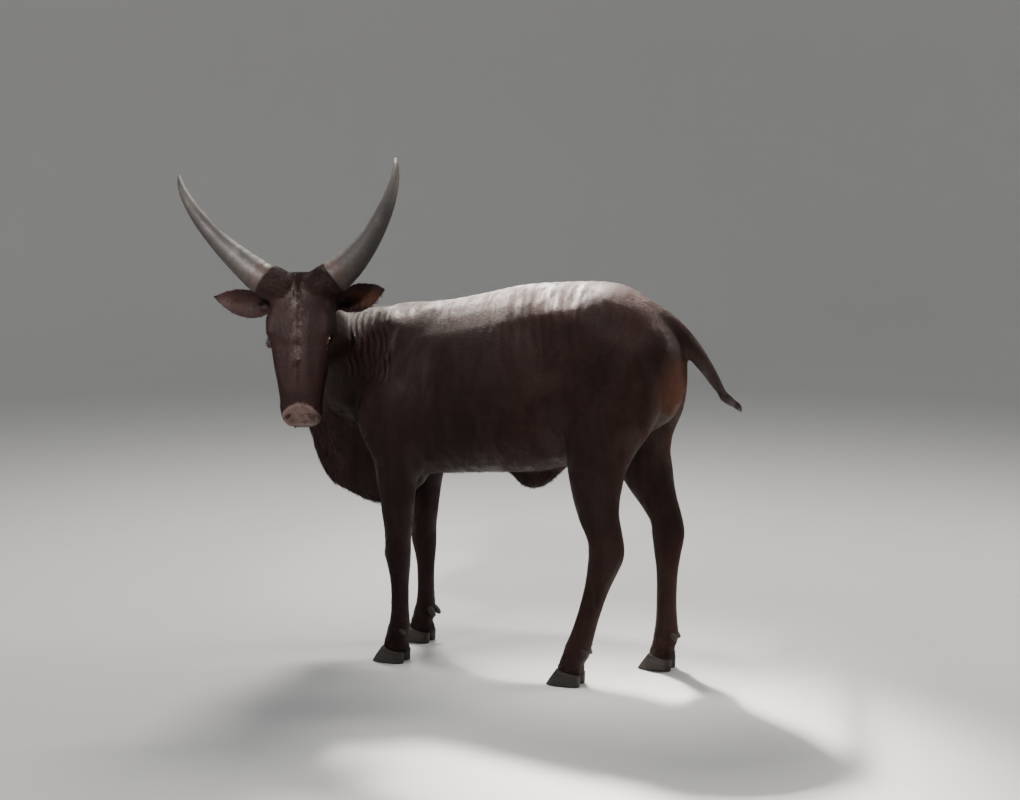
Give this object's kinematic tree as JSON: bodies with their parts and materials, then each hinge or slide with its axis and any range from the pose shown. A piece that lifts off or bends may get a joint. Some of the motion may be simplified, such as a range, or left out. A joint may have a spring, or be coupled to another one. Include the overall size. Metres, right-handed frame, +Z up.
{
  "type": "ankole watusi cattle",
  "caption": "Life-size young long-horned steer that stands still and looks back over its left side.",
  "frame": {"origin": "on the floor, at the middle of the box around the animal", "axes": "+Z up; the body faces -X, its left side is towards -Y"},
  "size_m": [1.707, 1.1124, 1.686],
  "materials": {
    "coat": "short, glossy, dark brown to nearly black hair lying flat",
    "switch": "long coarse black hair in tapered locks",
    "horn": "grey horn, browner and ringed at the base, smooth and lighter towards the tip",
    "hoof": "dull dark horn with fine growth lines",
    "eye": "wet, very dark brown eye"
  },
  "bodies": {
    "root": {"dewlap": "coat", "ear_left": "coat", "ear_right": "coat", "eye_left": "eye", "eye_right": "eye", "head": "coat", "horn_left": "horn", "horn_right": "horn", "left_fore_inner_claw": "hoof", "left_fore_inner_dewclaw": "hoof", "left_fore_lower_leg": "coat", "left_fore_outer_claw": "hoof", "left_fore_outer_dewclaw": "hoof", "left_fore_upper_leg": "coat", "left_hind_inner_claw": "hoof", "left_hind_inner_dewclaw": "hoof", "left_hind_lower_leg": "coat", "left_hind_outer_claw": "hoof", "left_hind_outer_dewclaw": "hoof", "left_hind_upper_leg": "coat", "neck": "coat", "right_fore_inner_claw": "hoof", "right_fore_inner_dewclaw": "hoof", "right_fore_lower_leg": "coat", "right_fore_outer_claw": "hoof", "right_fore_outer_dewclaw": "hoof", "right_fore_upper_leg": "coat", "right_hind_inner_claw": "hoof", "right_hind_inner_dewclaw": "hoof", "right_hind_lower_leg": "coat", "right_hind_outer_claw": "hoof", "right_hind_outer_dewclaw": "hoof", "right_hind_upper_leg": "coat", "sheath": "coat", "tail": "coat", "tail_switch": "switch", "torso": "coat"}
  },
  "joints": []
}
